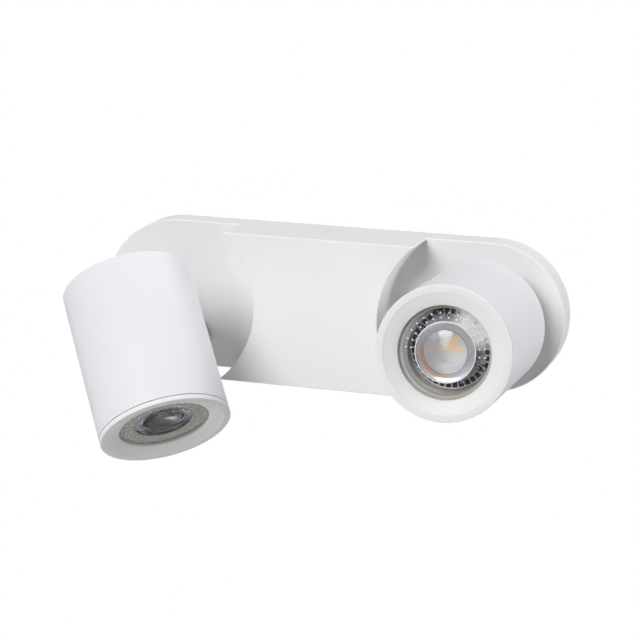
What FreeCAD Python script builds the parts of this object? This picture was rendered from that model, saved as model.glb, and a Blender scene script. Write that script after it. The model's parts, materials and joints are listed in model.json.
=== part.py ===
import FreeCAD, Part
import math
import os

# Pivoting spotlight wall light with two heads. Millimetres, +Z up. The wall is the plane y = 0,
# the light stands out from it towards -Y, and the origin is the middle of the mounting face.
# An arm and a head are drawn at one swivel axis, straight out and with the hinge on the +X side,
# and are then tilted, turned and moved to their own side.

# Base: a stadium-shaped plate with a deeper block across its middle
base_length = 255.0
base_width = 80.0
plate_depth = 17.0
block_depth = 45.5
shell_wall = 1.2
recess_radius = 51.2
recess_to_end = 42.5
recess_corner_round = 0.8
edge_round = 0.7
swivel_to_end = 41.3

# Catches that hold the base on its wall bracket, and their springs
catch_y = 10.0
catch_length = 10.0
catch_height = 3.6
catch_gap = 0.6
nib_below_face = 0.4
spring_length = 34.0
spring_steel = 1.2
spring_foot = 6.0
spring_past_catch = 2.6

# Wall bracket
bracket_to_swivel = 12.2
bracket_steel = 1.5
bracket_side_gap = 0.8
bracket_corner = 6.0
wall_slot_spacing = 120.0
wall_slot_length = 14.0
wall_slot_width = 5.0
rest_rib_thickness = 1.6
rest_rib_height = 9.0
rest_rib_inset = 8.0
rest_gap = 0.2

# Cable entry, terminal block and earth screw on the bracket
entry_to_edge = 19.0
entry_hole_radius = 8.0
grommet_lip = 1.6
grommet_bore_radius = 4.5
grommet_wall_gap = 0.3
terminal_z = 9.0
terminal_pitch = 10.0
terminal_count = 3
terminal_width = 17.0
terminal_height = 14.0
terminal_foot_height = 4.0
terminal_tower = 8.4
terminal_tower_round = 1.0
terminal_screw_radius = 1.85
terminal_screw_sink = 1.5
terminal_well_gap = 0.1
terminal_wire_radius = 1.5
terminal_wire_height = 6.5
fixing_shank_radius = 1.5
fixing_head_radius = 2.2
fixing_head_height = 1.4
fixing_gap = 0.15
earth_x = -32.0
earth_screw_radius = 2.0
earth_head_radius = 4.0
earth_head_height = 2.6
earth_washer_radius = 4.6
earth_washer_thickness = 1.0

# Screws
screw_bevel = 0.3
slot_share = 0.14
slot_depth = 0.8

# How far a cutter runs past the face it cuts, how far a boss or tab is rooted in its wall,
# and how near two lengths are to count as the same
past = 1.0
root = 0.5
same = 0.001

# Swivel: a hollow stud through the plate, held by a nut
stud_radius = 4.0
stud_bore_radius = 2.5
stud_clearance = 0.1
stud_flange_radius = 6.5
stud_flange_thickness = 1.6
stud_end = 6.4
boss_radius = 12.0
boss_end = 12.6
glide_radius = 8.5
glide_thickness = 0.8
stop_washer_radius = 7.2
stop_washer_thickness = 1.0
stop_tab_reach = 10.6
stop_tab_width = 1.3
stop_post_radius = 0.7
stop_post_height = 2.2
spring_outer_radius = 7.0
spring_thickness = 0.5
spring_rise = 1.2
nut_width = 13.0
nut_height = 3.0
fit_gap = 0.05

# Arm: a channel with two cheeks, from the swivel to the tilt hinge
arm_thickness = 10.6
arm_sheet = 1.5
arm_width = 12.0
arm_edge = 3.8
foot_height = 8.0
foot_tail = 9.0
foot_round = 4.0
tip_round = 4.2
web_to_hinge = 6.5

# Tilt hinge
hinge_inset = 6.5
hinge_to_back = 34.5
back_gap = 16.0
hinge_pin_radius = 1.5
hinge_fit = 0.05
hinge_head_radius = 2.75
hinge_head_height = 1.8
hinge_nut_width = 5.5
hinge_nut_height = 1.8
hinge_screw_past_nut = 0.2
friction_washer_thickness = 0.6
friction_washer_radius = 3.7
lug_thickness = 2.2
lug_half_length = 5.0
lean_back_degrees = 5.0

# Head: a can with a flat closed back, and a ring that screws into its front
head_radius = 34.0
head_length = 86.0
head_wall = 1.2
back_wall = 2.0
back_round = 0.8
slot_clearance = 0.6
ring_width = 2.4
ring_groove = 0.4
ring_rim = 3.9
ring_round = 0.5
rim_step = 0.2
aperture_radius = 23.5
cone_depth = 2.9
lip_thickness = 0.9
skirt_thickness = 1.6
skirt_length = 6.0
skirt_clearance = 0.15
grip_notch_count = 3
grip_notch_radius = 1.2

# Lamp: a plug-in reflector lamp with a 50 mm face and two bayonet pins
gasket_thickness = 0.6
gasket_past_face = 1.2
gasket_behind_lip = 0.4
lamp_face_radius = 25.0
lamp_rim_height = 2.2
lamp_shell_wall = 1.2
lamp_bowl_radius = 24.2
lamp_bowl_length = 6.5
lamp_bowl_taper = 0.6
lamp_neck_radius = 13.6
lamp_neck_start = 34.0
lamp_length = 46.6
lamp_base_thickness = 2.0
lamp_pin_spacing = 10.0
lamp_pin_radius = 1.6
lamp_pin_head_radius = 2.45
lamp_pin_head_height = 2.4
lamp_pin_length = 7.0
lens_radius = 23.0
lens_recess = 0.3
lens_plate = 1.4
lens_seat_gap = 0.1
lens_collar_radius = 15.4
lens_dome_radius = 10.9
lens_dome_rise = 2.2
lens_cone_depth = 11.0
lens_cone_radius = 6.5
lens_moat_depth = 0.8
lens_collar_width = 1.4
lens_hollow_width = 3.0
lens_hollow_depth = 4.5
board_radius = 13.0
board_thickness = 1.4
board_gap = 0.5
chip_size = 2.0
chip_height = 0.7
chip_circle_radius = 2.1
chip_count = 3
first_chip_degrees = 180.0

# Lampholder on its bridge
holder_length = 27.0
holder_width = 17.0
holder_height = 14.0
holder_round = 3.0
holder_gap = 0.4
holder_screw_inset = 3.2
socket_radius = 2.7
socket_depth = 9.0
bridge_steel = 1.0
bridge_width = 14.0
bridge_foot = 7.0
small_screw_radius = 1.4
small_head_radius = 2.6
small_head_height = 1.8
small_screw_length = 4.5
foot_screw_length = 2.6

# Two-core lead from the terminal block to each lampholder
lead_radius = 1.3
lead_bend = 3.2
lead_wall_gap = 3.4
lead_joint_gap = 0.3
lead_entry = 0.5
lead_slope_length = 14.0
lead_turn = 12.0
lead_z = -6.0
lead_foot_gap = 0.45
lead_holder_run = 6.5
lead_tail = 5.0
lead_in_channel = 2.5
lead_pin_gap = 2.2
lead_pin_side = 1.0
lead_holder_depth = 7.0

# Photographed pose: pan is the angle of the hinge side from +X, seen from the front,
# and tilt is how far the head leans from straight out towards its hinge side
left_pan_degrees = -59.4
left_tilt_degrees = 60.6
right_pan_degrees = -95.2
right_tilt_degrees = -2.1
poses = {
    "left": (-1, left_pan_degrees, left_tilt_degrees),
    "right": (1, right_pan_degrees, right_tilt_degrees),
}

half_width = base_width / 2
end_centre_x = base_length / 2 - half_width
recess_centre_x = base_length / 2 - recess_to_end
swivel_x = base_length / 2 - swivel_to_end
entry_z = entry_to_edge - half_width
bracket_half_length = swivel_x - bracket_to_swivel
plate_face = -plate_depth
hinge_offset = head_radius - hinge_inset
foot_face = plate_face - glide_thickness
hinge_y = plate_face - back_gap - hinge_to_back
back_y = hinge_y + hinge_to_back
front_y = back_y - head_length
body_front_y = front_y + ring_width + ring_groove
bore_radius = head_radius - head_wall
arm_half = arm_thickness / 2
arm_outer = hinge_offset + arm_edge
arm_inner = arm_outer - arm_width
lug_inner = arm_half + friction_washer_thickness
lug_outer = lug_inner + lug_thickness
slot_half = arm_half + slot_clearance
lip_back_y = front_y + cone_depth + lip_thickness
lamp_front_y = lip_back_y + gasket_thickness
lamp_back_y = lamp_front_y + lamp_length
holder_front_y = lamp_back_y + holder_gap
holder_back_y = holder_front_y + holder_height
chip_face_y = lamp_front_y + lens_recess + lens_plate + lens_cone_depth + board_gap


def vec(x, y, z):
    return FreeCAD.Vector(x, y, z)


def box(x0, x1, y0, y1, z0, z1):
    return Part.makeBox(x1 - x0, y1 - y0, z1 - z0, vec(x0, y0, z0))


def rod(radius, start, end):
    return Part.makeCylinder(radius, (end - start).Length, start, end - start)


def line(start, end):
    return Part.LineSegment(start, end).toShape()


def arc(start, middle, end):
    return Part.Arc(start, middle, end).toShape()


def prism(edges, travel):
    return Part.Face(Part.Wire(edges)).extrude(travel)


def polygon_prism(points, travel):
    return Part.Face(Part.makePolygon(points + [points[0]])).extrude(travel)


def turned(profile):
    """A closed outline of (radius, y) points, turned round the Y axis."""
    points = [vec(radius, y, 0) for radius, y in profile]
    face = Part.Face(Part.makePolygon(points + [points[0]]))
    return face.revolve(vec(0, 0, 0), vec(0, 1, 0), 360)


def tube(outer, inner, y0, y1):
    return turned([(inner, y0), (outer, y0), (outer, y1), (inner, y1)])


def hexagon(width, height):
    """A hexagon of the given width across its flats, standing on the plane z = 0."""
    corner = width / math.sqrt(3)
    points = []
    for k in range(6):
        angle = math.radians(60 * k + 30)
        points.append(vec(corner * math.cos(angle), corner * math.sin(angle), 0))
    return polygon_prism(points, vec(0, 0, height))


def moved(shape, x, y, z):
    copy = shape.copy()
    copy.translate(vec(x, y, z))
    return copy


def rounded(shape, size, chosen):
    """Fillets the edges for which chosen(edge) is true."""
    edges = [edge for edge in shape.Edges if chosen(edge)]
    return shape.makeFillet(size, edges)


def edge_in_plane(edge, y):
    box_of = edge.BoundBox
    return abs(box_of.YMin - y) < same and abs(box_of.YMax - y) < same


def rim_at(edge, radius, y):
    """True for a circle of the given radius round the Y axis, in the plane of the given y."""
    box_of = edge.BoundBox
    return edge_in_plane(edge, y) and abs(box_of.XMax - radius) < same


def along_y(edge, length):
    """True for an edge that runs through a plate of the given thickness."""
    return abs(edge.BoundBox.YLength - length) < same


def lead_path(points, bend):
    """Straight runs through the points, joined by arcs tangent to both runs."""
    edges = []
    last = points[0]
    for before, corner, after in zip(points, points[1:], points[2:]):
        back = (before - corner).normalize()
        ahead = (after - corner).normalize()
        half_angle = back.getAngle(ahead) / 2
        setback = bend / math.tan(half_angle)
        start = corner + back * setback
        end = corner + ahead * setback
        centre = corner + (back + ahead).normalize() * (bend / math.sin(half_angle))
        middle = centre + (corner - centre).normalize() * bend
        edges.append(line(last, start))
        edges.append(arc(start, middle, end))
        last = end
    edges.append(line(last, points[-1]))
    return Part.Wire(edges)


def lead(points, bend=lead_bend):
    """A round lead along the points."""
    path = lead_path(points, bend)
    heading = points[1] - points[0]
    section = Part.Wire(Part.Circle(points[0], heading, lead_radius).toShape())
    return path.makePipeShell([section], True, True)


def stadium(radius, centre_x, depth):
    edges = [
        line(vec(-centre_x, 0, radius), vec(centre_x, 0, radius)),
        arc(vec(centre_x, 0, radius), vec(centre_x + radius, 0, 0), vec(centre_x, 0, -radius)),
        line(vec(centre_x, 0, -radius), vec(-centre_x, 0, -radius)),
        arc(vec(-centre_x, 0, -radius), vec(-centre_x - radius, 0, 0), vec(-centre_x, 0, radius)),
    ]
    return prism(edges, vec(0, -depth, 0))


def waisted_block(half_height, radius, depth):
    """The middle block: its two ends are hollowed to arcs about the recess centres."""
    corner_x = recess_centre_x - math.sqrt(radius ** 2 - half_height ** 2)
    waist_x = recess_centre_x - radius
    edges = [
        line(vec(-corner_x, 0, half_height), vec(corner_x, 0, half_height)),
        arc(vec(corner_x, 0, half_height), vec(waist_x, 0, 0), vec(corner_x, 0, -half_height)),
        line(vec(corner_x, 0, -half_height), vec(-corner_x, 0, -half_height)),
        arc(vec(-corner_x, 0, -half_height), vec(-waist_x, 0, 0), vec(-corner_x, 0, half_height)),
    ]
    return prism(edges, vec(0, -depth, 0))


def recess_corner(edge):
    """True for the inner corner in which a hollowed end of the block meets the plate."""
    middle = edge.valueAt((edge.FirstParameter + edge.LastParameter) / 2)
    from_recess = math.hypot(abs(middle.x) - recess_centre_x, middle.z)
    return edge_in_plane(edge, plate_face) and abs(from_recess - recess_radius) < same


def front_edge(edge):
    """True for the outer edges of the block's front and of the plate's front."""
    if edge_in_plane(edge, -block_depth):
        return True
    middle = edge.valueAt((edge.FirstParameter + edge.LastParameter) / 2)
    from_end = math.hypot(max(0, abs(middle.x) - end_centre_x), middle.z)
    return edge_in_plane(edge, plate_face) and from_end > half_width - same


def base_housing():
    plate = stadium(half_width, end_centre_x, plate_depth)
    block = waisted_block(half_width, recess_radius, block_depth)
    outer = plate.fuse(block).removeSplitter()
    outer = rounded(outer, recess_corner_round, recess_corner)
    outer = rounded(outer, edge_round, front_edge)
    inner_half = half_width - shell_wall
    plate_room = stadium(inner_half, end_centre_x, plate_depth - shell_wall)
    block_room = waisted_block(inner_half, recess_radius + shell_wall, block_depth - shell_wall)
    shell = outer.cut(plate_room.fuse(block_room))
    for side in (-1, 1):
        boss = moved(tube(boss_radius, stud_radius + stud_clearance, -boss_end, plate_face + root),
                     side * swivel_x, 0, 0)
        hole = rod(stud_radius + stud_clearance, vec(side * swivel_x, plate_face - past, 0),
                   vec(side * swivel_x, 0, 0))
        post_z = stop_tab_reach - stop_post_radius - stud_clearance
        post = rod(stop_post_radius, vec(side * swivel_x, -boss_end - root, post_z),
                   vec(side * swivel_x, -boss_end + stop_post_height, post_z))
        shell = shell.fuse(boss).cut(hole).fuse(post)
        catch = box(-catch_length / 2, catch_length / 2, -catch_y - catch_height / 2,
                    -catch_y + catch_height / 2, min(0, side * base_width), max(0, side * base_width))
        shell = shell.cut(catch)
        for end in (-1, 1):
            rib_x = end * (bracket_half_length - rest_rib_inset)
            rib_low = half_width - shell_wall - rest_rib_height
            rib = box(rib_x - rest_rib_thickness / 2, rib_x + rest_rib_thickness / 2,
                      plate_face + shell_wall / 2, -bracket_steel - rest_gap,
                      rib_low, half_width - shell_wall / 2)
            if side < 0:
                rib = rib.mirror(vec(0, 0, 0), vec(0, 0, 1))
            shell = shell.fuse(rib)
    return shell.removeSplitter()


def wall_bracket():
    half_height = half_width - shell_wall - bracket_side_gap
    plate = box(-bracket_half_length, bracket_half_length, -bracket_steel, 0, -half_height, half_height)
    plate = rounded(plate, bracket_corner, lambda edge: along_y(edge, bracket_steel))
    for side in (-1, 1):
        slot_x = side * wall_slot_spacing / 2
        reach = (wall_slot_length - wall_slot_width) / 2
        slot = box(slot_x - reach, slot_x + reach, -2 * bracket_steel, bracket_steel,
                   -wall_slot_width / 2, wall_slot_width / 2)
        for end in (-1, 1):
            centre = slot_x + end * reach
            slot = slot.fuse(rod(wall_slot_width / 2, vec(centre, -2 * bracket_steel, 0),
                                 vec(centre, bracket_steel, 0)))
        plate = plate.cut(slot)
    plate = plate.cut(rod(entry_hole_radius, vec(0, -2 * bracket_steel, entry_z),
                          vec(0, bracket_steel, entry_z)))
    plate = plate.cut(rod(earth_screw_radius + fit_gap, vec(earth_x, -2 * bracket_steel, 0),
                          vec(earth_x, bracket_steel, 0)))
    for end in (-1, 1):
        screw_x = end * terminal_pitch / 2
        plate = plate.cut(rod(fixing_shank_radius + fit_gap, vec(screw_x, -2 * bracket_steel, terminal_z),
                              vec(screw_x, bracket_steel, terminal_z)))
    return plate


def upper_catch_spring():
    """A spring strip welded to the bracket by its foot, with the nib that clicks into the catch opening."""
    top = half_width - shell_wall - bracket_side_gap
    end_y = -catch_y - catch_height / 2 - spring_past_catch
    foot = box(-spring_length / 2, spring_length / 2, -bracket_steel - spring_steel, -bracket_steel,
               top - spring_foot, top)
    leaf = box(-spring_length / 2, spring_length / 2, end_y, -bracket_steel, top - spring_steel, top)
    nib_half = catch_length / 2 - catch_gap
    nib_depth = catch_height / 2 - catch_gap
    crest = half_width - nib_below_face
    nib = polygon_prism([
        vec(-nib_half, -catch_y - nib_depth, top - spring_steel / 2),
        vec(-nib_half, -catch_y - nib_depth, crest - nib_depth / 2),
        vec(-nib_half, -catch_y - nib_depth / 2, crest),
        vec(-nib_half, -catch_y + nib_depth, crest),
        vec(-nib_half, -catch_y + nib_depth, top - spring_steel / 2)],
        vec(2 * nib_half, 0, 0))
    return foot.fuse(leaf).fuse(nib).removeSplitter()


def lower_catch_spring():
    return upper_catch_spring().mirror(vec(0, 0, 0), vec(0, 0, 1))


def cable_grommet():
    neck = entry_hole_radius - fit_gap
    lip = entry_hole_radius + grommet_lip
    profile = [
        (grommet_bore_radius, -bracket_steel - grommet_lip),
        (lip, -bracket_steel - grommet_lip),
        (lip, -bracket_steel - fit_gap),
        (neck, -bracket_steel - fit_gap),
        (neck, -grommet_wall_gap),
        (grommet_bore_radius, -grommet_wall_gap),
    ]
    return moved(turned(profile), 0, 0, entry_z)


def pole_places():
    return [(k - (terminal_count - 1) / 2) * terminal_pitch for k in range(terminal_count)]


def terminal_block():
    """Poles side by side on one foot, each with a wire way and two screw wells."""
    poles = pole_places()
    half_length = terminal_count * terminal_pitch / 2
    half_depth = terminal_width / 2
    top = -bracket_steel - terminal_height
    foot_top = -bracket_steel - terminal_foot_height
    wire_y = -bracket_steel - terminal_wire_height
    block = box(-half_length, half_length, foot_top, -bracket_steel, -half_depth, half_depth)
    for pole_x in poles:
        tower = box(pole_x - terminal_tower / 2, pole_x + terminal_tower / 2, top, foot_top,
                    -half_depth, half_depth)
        tower = rounded(tower, terminal_tower_round, lambda edge: edge_in_plane(edge, top))
        wire_way = rod(terminal_wire_radius, vec(pole_x, wire_y, -terminal_width),
                       vec(pole_x, wire_y, terminal_width))
        block = block.fuse(tower).cut(wire_way)
        for end in (-1, 1):
            well_z = end * terminal_width / 4
            well = rod(terminal_screw_radius + terminal_well_gap, vec(pole_x, top - past, well_z),
                       vec(pole_x, wire_y, well_z))
            block = block.cut(well)
    for end in (-1, 1):
        place = end * terminal_pitch / 2
        well = rod(fixing_head_radius + fixing_gap, vec(place, top - past, 0), vec(place, foot_top, 0))
        hole = rod(fixing_shank_radius + fixing_gap, vec(place, top, 0), vec(place, 0, 0))
        block = block.cut(well).cut(hole)
    return moved(block.removeSplitter(), 0, 0, terminal_z)


def terminal_screws():
    """The clamping screws, two to a pole, sunk in their wells."""
    screws = []
    top = -bracket_steel - terminal_height + terminal_screw_sink
    bottom = -bracket_steel - terminal_wire_height
    for pole_x in pole_places():
        for end in (-1, 1):
            screw = grub_screw(terminal_screw_radius, bottom - top)
            screws.append(moved(screw, pole_x, top, terminal_z + end * terminal_width / 4))
    return Part.makeCompound(screws)


def terminal_fixing_screws():
    """Two screws that hold the terminal block on the bracket."""
    screws = []
    foot_top = -bracket_steel - terminal_foot_height
    length = terminal_foot_height + bracket_steel - rest_gap
    for end in (-1, 1):
        screw = slotted_screw(fixing_head_radius, fixing_head_height, fixing_shank_radius, length)
        screws.append(moved(screw, end * terminal_pitch / 2, foot_top, terminal_z))
    return Part.makeCompound(screws)


def screw_slot(radius, top):
    """The driver's slot across a screw whose end is the plane y = top."""
    half_width_of = slot_share * radius
    return box(-2 * radius, 2 * radius, top - past, top + slot_depth, -half_width_of, half_width_of)


def grub_screw(radius, length):
    """A headless screw from y = 0 towards +Y."""
    return rod(radius, vec(0, 0, 0), vec(0, length, 0)).cut(screw_slot(radius, 0))


def slotted_screw(radius, height, shank_radius, shank_length):
    """A cheese-head screw: its head rises towards -Y from y = 0 and its shank goes to +Y."""
    bevel = screw_bevel
    screw = turned([
        (0, -height), (radius - bevel, -height), (radius, -height + bevel), (radius, 0),
        (shank_radius, 0), (shank_radius, shank_length - bevel),
        (shank_radius - bevel, shank_length), (0, shank_length),
    ])
    return screw.cut(screw_slot(radius, -height))


def earth_screw():
    washer = tube(earth_washer_radius, earth_screw_radius + 2 * fit_gap,
                  -bracket_steel - earth_washer_thickness, -bracket_steel)
    screw = slotted_screw(earth_head_radius, earth_head_height, earth_screw_radius,
                          earth_washer_thickness + bracket_steel - rest_gap)
    screw = moved(screw, 0, -bracket_steel - earth_washer_thickness, 0)
    return moved(Part.makeCompound([washer, screw]), earth_x, 0, 0)


def base_lead(side):
    """From the terminal block along the bracket to the inner end of the swivel stud."""
    pole_x = side * terminal_pitch
    start_z = terminal_z - terminal_width / 2 + lead_entry
    run_y = -lead_wall_gap
    wire_y = -bracket_steel - terminal_wire_height
    points = [
        vec(pole_x, wire_y, start_z),
        vec(pole_x, wire_y, lead_z),
        vec(pole_x + side * lead_slope_length, run_y, lead_z),
        vec(side * (swivel_x - lead_turn), run_y, lead_z),
        vec(side * swivel_x, run_y, 0),
        vec(side * swivel_x, -stud_end + lead_joint_gap, 0),
    ]
    return lead(points, lead_wall_gap - lead_radius)


def swivel_stud():
    """A hollow stud: its flange, with two flats, sits in the arm's foot behind the cheeks."""
    foot_inside = foot_face - arm_sheet
    profile = [
        (stud_bore_radius, foot_inside - stud_flange_thickness),
        (stud_flange_radius, foot_inside - stud_flange_thickness),
        (stud_flange_radius, foot_inside),
        (stud_radius, foot_inside),
        (stud_radius, -stud_end),
        (stud_bore_radius, -stud_end),
    ]
    flat = arm_half - arm_sheet - fit_gap
    flange_end = foot_inside - stud_flange_thickness
    stud = turned(profile)
    for side in (-1, 1):
        beyond = 2 * stud_flange_radius
        waste = box(-beyond, beyond, flange_end - past, foot_inside,
                    min(side * flat, side * beyond), max(side * flat, side * beyond))
        stud = stud.cut(waste)
    return stud


def stop_washer():
    ring = tube(stop_washer_radius, stud_radius + fit_gap, -boss_end, -boss_end + stop_washer_thickness)
    tab = box(stop_washer_radius - root, stop_tab_reach, -boss_end, -boss_end + stop_washer_thickness,
              -stop_tab_width / 2, stop_tab_width / 2)
    return ring.fuse(tab).removeSplitter()


def spring_washer():
    start = -boss_end + stop_washer_thickness
    inner = stud_radius + 2 * fit_gap
    return turned([
        (inner, start + spring_rise - spring_thickness),
        (spring_outer_radius, start),
        (spring_outer_radius, start + spring_thickness),
        (inner, start + spring_rise),
    ])


def nut(width, height, bore):
    return hexagon(width, height).cut(rod(bore, vec(0, 0, -past), vec(0, 0, height + past)))


def swivel_nut():
    piece = nut(nut_width, nut_height, stud_radius + fit_gap)
    piece.rotate(vec(0, 0, 0), vec(1, 0, 0), -90)
    return moved(piece, 0, -boss_end + stop_washer_thickness + spring_rise, 0)


def arm_outline(inset):
    """Side view of the arm, in a plane z = const: inset draws back its foot and outer side."""
    eye = arm_edge - inset
    outer = arm_outer - inset
    low = foot_face - inset
    foot_top = foot_face - foot_height
    tip = hinge_y - arm_edge
    slant = math.sqrt(0.5)
    tail = -foot_tail
    edges = [
        line(vec(tail, low, 0), vec(outer, low, 0)),
        line(vec(outer, low, 0), vec(outer, hinge_y, 0)),
        arc(vec(outer, hinge_y, 0), vec(hinge_offset + eye * slant, hinge_y - eye * slant, 0),
            vec(hinge_offset, hinge_y - eye, 0)),
    ]
    if inset > 0:
        beyond = [vec(hinge_offset, hinge_y - eye, 0), vec(hinge_offset, tip - past, 0),
                  vec(tail - past, tip - past, 0), vec(tail - past, low, 0), vec(tail, low, 0)]
        return edges + [line(start, end) for start, end in zip(beyond, beyond[1:])]
    near = arm_inner + tip_round
    bend = arm_inner - foot_round
    edges += [
        line(vec(hinge_offset, tip, 0), vec(near, tip, 0)),
        arc(vec(near, tip, 0), vec(near - tip_round * slant, tip + tip_round * (1 - slant), 0),
            vec(arm_inner, tip + tip_round, 0)),
        line(vec(arm_inner, tip + tip_round, 0), vec(arm_inner, foot_top - foot_round, 0)),
        arc(vec(arm_inner, foot_top - foot_round, 0),
            vec(bend + foot_round * slant, foot_top - foot_round * (1 - slant), 0),
            vec(bend, foot_top, 0)),
        line(vec(bend, foot_top, 0), vec(tail + foot_round, foot_top, 0)),
        arc(vec(tail + foot_round, foot_top, 0),
            vec(tail + foot_round * (1 - slant), foot_top + foot_round * (1 - slant), 0),
            vec(tail, foot_top + foot_round, 0)),
        line(vec(tail, foot_top + foot_round, 0), vec(tail, low, 0)),
    ]
    return edges


def tilt_arm():
    solid = moved(prism(arm_outline(0.0), vec(0, 0, arm_thickness)), 0, 0, -arm_half)
    room = arm_thickness - 2 * arm_sheet
    channel = moved(prism(arm_outline(arm_sheet), vec(0, 0, room)), 0, 0, -room / 2)
    window = box(hinge_offset - arm_edge, arm_outer + past, hinge_y - arm_edge - past, hinge_y + web_to_hinge,
                 -room / 2, room / 2)
    arm = solid.cut(channel).cut(window)
    stud_hole = rod(stud_radius + fit_gap, vec(0, foot_face + past, 0),
                    vec(0, foot_face - 2 * arm_sheet, 0))
    pin_hole = rod(hinge_pin_radius + hinge_fit, vec(hinge_offset, hinge_y, -arm_thickness),
                   vec(hinge_offset, hinge_y, arm_thickness))
    return arm.cut(stud_hole).cut(pin_hole).removeSplitter()


def arm_lead():
    """Through the stud, along the foot and up the channel to the hinge."""
    run_y = foot_face - arm_sheet - stud_flange_thickness - lead_radius - lead_foot_gap
    channel_x = hinge_offset - lead_in_channel
    points = [
        vec(0, -stud_end, 0),
        vec(0, run_y, 0),
        vec(channel_x, run_y, 0),
        vec(channel_x, hinge_y + lead_tail, 0),
    ]
    return lead(points)


def hinge_screw():
    """The tilt pin: a screw through both ears and both cheeks."""
    length = 2 * lug_outer + hinge_nut_height + hinge_screw_past_nut
    screw = slotted_screw(hinge_head_radius, hinge_head_height, hinge_pin_radius, length)
    screw.rotate(vec(0, 0, 0), vec(1, 0, 0), 90)
    return moved(screw, hinge_offset, hinge_y, -lug_outer)


def hinge_nut():
    piece = nut(hinge_nut_width, hinge_nut_height, hinge_pin_radius + hinge_fit)
    return moved(piece, hinge_offset, hinge_y, lug_outer)


def friction_washers():
    washers = []
    for low in (arm_half, -lug_inner):
        high = low + friction_washer_thickness
        disc = rod(friction_washer_radius, vec(0, 0, low), vec(0, 0, high))
        hole = rod(hinge_pin_radius + hinge_fit, vec(0, 0, low - past), vec(0, 0, high + past))
        washers.append(moved(disc.cut(hole), hinge_offset, hinge_y, 0))
    return Part.makeCompound(washers)


def head_lug(low, high):
    """One ear of the hinge, from the can's wall inwards, rounded at its inner end."""
    front = hinge_y - lug_half_length
    back = hinge_y + lug_half_length
    ear = rod(lug_half_length, vec(hinge_offset, hinge_y, low), vec(hinge_offset, hinge_y, high))
    stem = box(hinge_offset, head_radius, front, back, low, high)
    inside = rod(head_radius - head_wall / 2, vec(0, front, 0), vec(0, back, 0))
    hole = rod(hinge_pin_radius + hinge_fit, vec(hinge_offset, hinge_y, low - past),
               vec(hinge_offset, hinge_y, high + past))
    return ear.fuse(stem).common(inside).cut(hole)


def head_body():
    profile = [
        (0, back_y), (head_radius, back_y), (head_radius, body_front_y),
        (bore_radius, body_front_y), (bore_radius, back_y - back_wall), (0, back_y - back_wall),
    ]
    can = rounded(turned(profile), back_round, lambda edge: rim_at(edge, head_radius, back_y))
    lean = math.radians(lean_back_degrees)
    near_edge = arm_inner - hinge_offset
    reach = (hinge_to_back - near_edge * math.sin(lean)) / math.cos(lean)
    slot_start = hinge_offset + near_edge * math.cos(lean) - reach * math.sin(lean) - slot_clearance
    slot_end = hinge_y - arm_edge - slot_clearance
    can = can.cut(box(slot_start, head_radius + past, slot_end, back_y + past, -slot_half, slot_half))
    can = can.fuse(head_lug(lug_inner, lug_outer)).fuse(head_lug(-lug_outer, -lug_inner))
    for end in (-1, 1):
        hole_z = end * (holder_length / 2 + bridge_steel + bridge_foot / 2)
        can = can.cut(rod(small_screw_radius + fit_gap, vec(0, back_y - 2 * back_wall, hole_z),
                          vec(0, back_y - rest_gap, hole_z)))
    return can.removeSplitter()


def front_ring():
    rim_inner = head_radius - ring_rim
    skirt = bore_radius - skirt_clearance
    profile = [
        (head_radius, front_y), (head_radius, front_y + ring_width), (skirt, front_y + ring_width),
        (skirt, front_y + ring_width + skirt_length),
        (skirt - skirt_thickness, front_y + ring_width + skirt_length),
        (skirt - skirt_thickness, lip_back_y), (aperture_radius, lip_back_y),
        (aperture_radius, front_y + cone_depth), (rim_inner, front_y + rim_step),
        (rim_inner + rim_step, front_y),
    ]
    ring = rounded(turned(profile), ring_round, lambda edge: rim_at(edge, head_radius, front_y))
    for k in range(grip_notch_count):
        angle = math.radians(360 * k / grip_notch_count + 90)
        place = skirt - skirt_thickness
        centre = vec(place * math.cos(angle), 0, place * math.sin(angle))
        start = centre + vec(0, lip_back_y, 0)
        end = centre + vec(0, front_y + ring_width + skirt_length + past, 0)
        ring = ring.cut(rod(grip_notch_radius, start, end))
    return ring


def lamp_gasket():
    return tube(lamp_face_radius + gasket_past_face, aperture_radius + gasket_behind_lip,
                lip_back_y, lamp_front_y)


def lamp_shell():
    """Bowl, neck and end cap of the lamp, open at its face."""
    wall = lamp_shell_wall
    face = lamp_front_y
    bowl_end = face + lamp_rim_height + lamp_bowl_length
    neck = face + lamp_neck_start
    inner_back = lamp_back_y - lamp_base_thickness
    profile = [
        (lens_radius + lens_seat_gap, face), (lamp_face_radius, face),
        (lamp_face_radius, face + lamp_rim_height), (lamp_bowl_radius, face + lamp_rim_height),
        (lamp_bowl_radius - lamp_bowl_taper, bowl_end), (lamp_neck_radius, neck),
        (lamp_neck_radius, lamp_back_y), (0, lamp_back_y), (0, inner_back),
        (lamp_neck_radius - wall, inner_back), (lamp_neck_radius - wall, neck),
        (lamp_bowl_radius - lamp_bowl_taper - wall, bowl_end - wall / 2),
        (lamp_bowl_radius - 2 * wall, face + lens_recess + lens_plate + lens_seat_gap),
        (lens_radius + lens_seat_gap, face + lens_recess + lens_plate + lens_seat_gap),
    ]
    shell = turned(profile)
    for end in (-1, 1):
        hole_z = end * lamp_pin_spacing / 2
        shell = shell.cut(rod(lamp_pin_radius, vec(0, inner_back - past, hole_z),
                              vec(0, lamp_back_y + past, hole_z)))
    return shell


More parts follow.
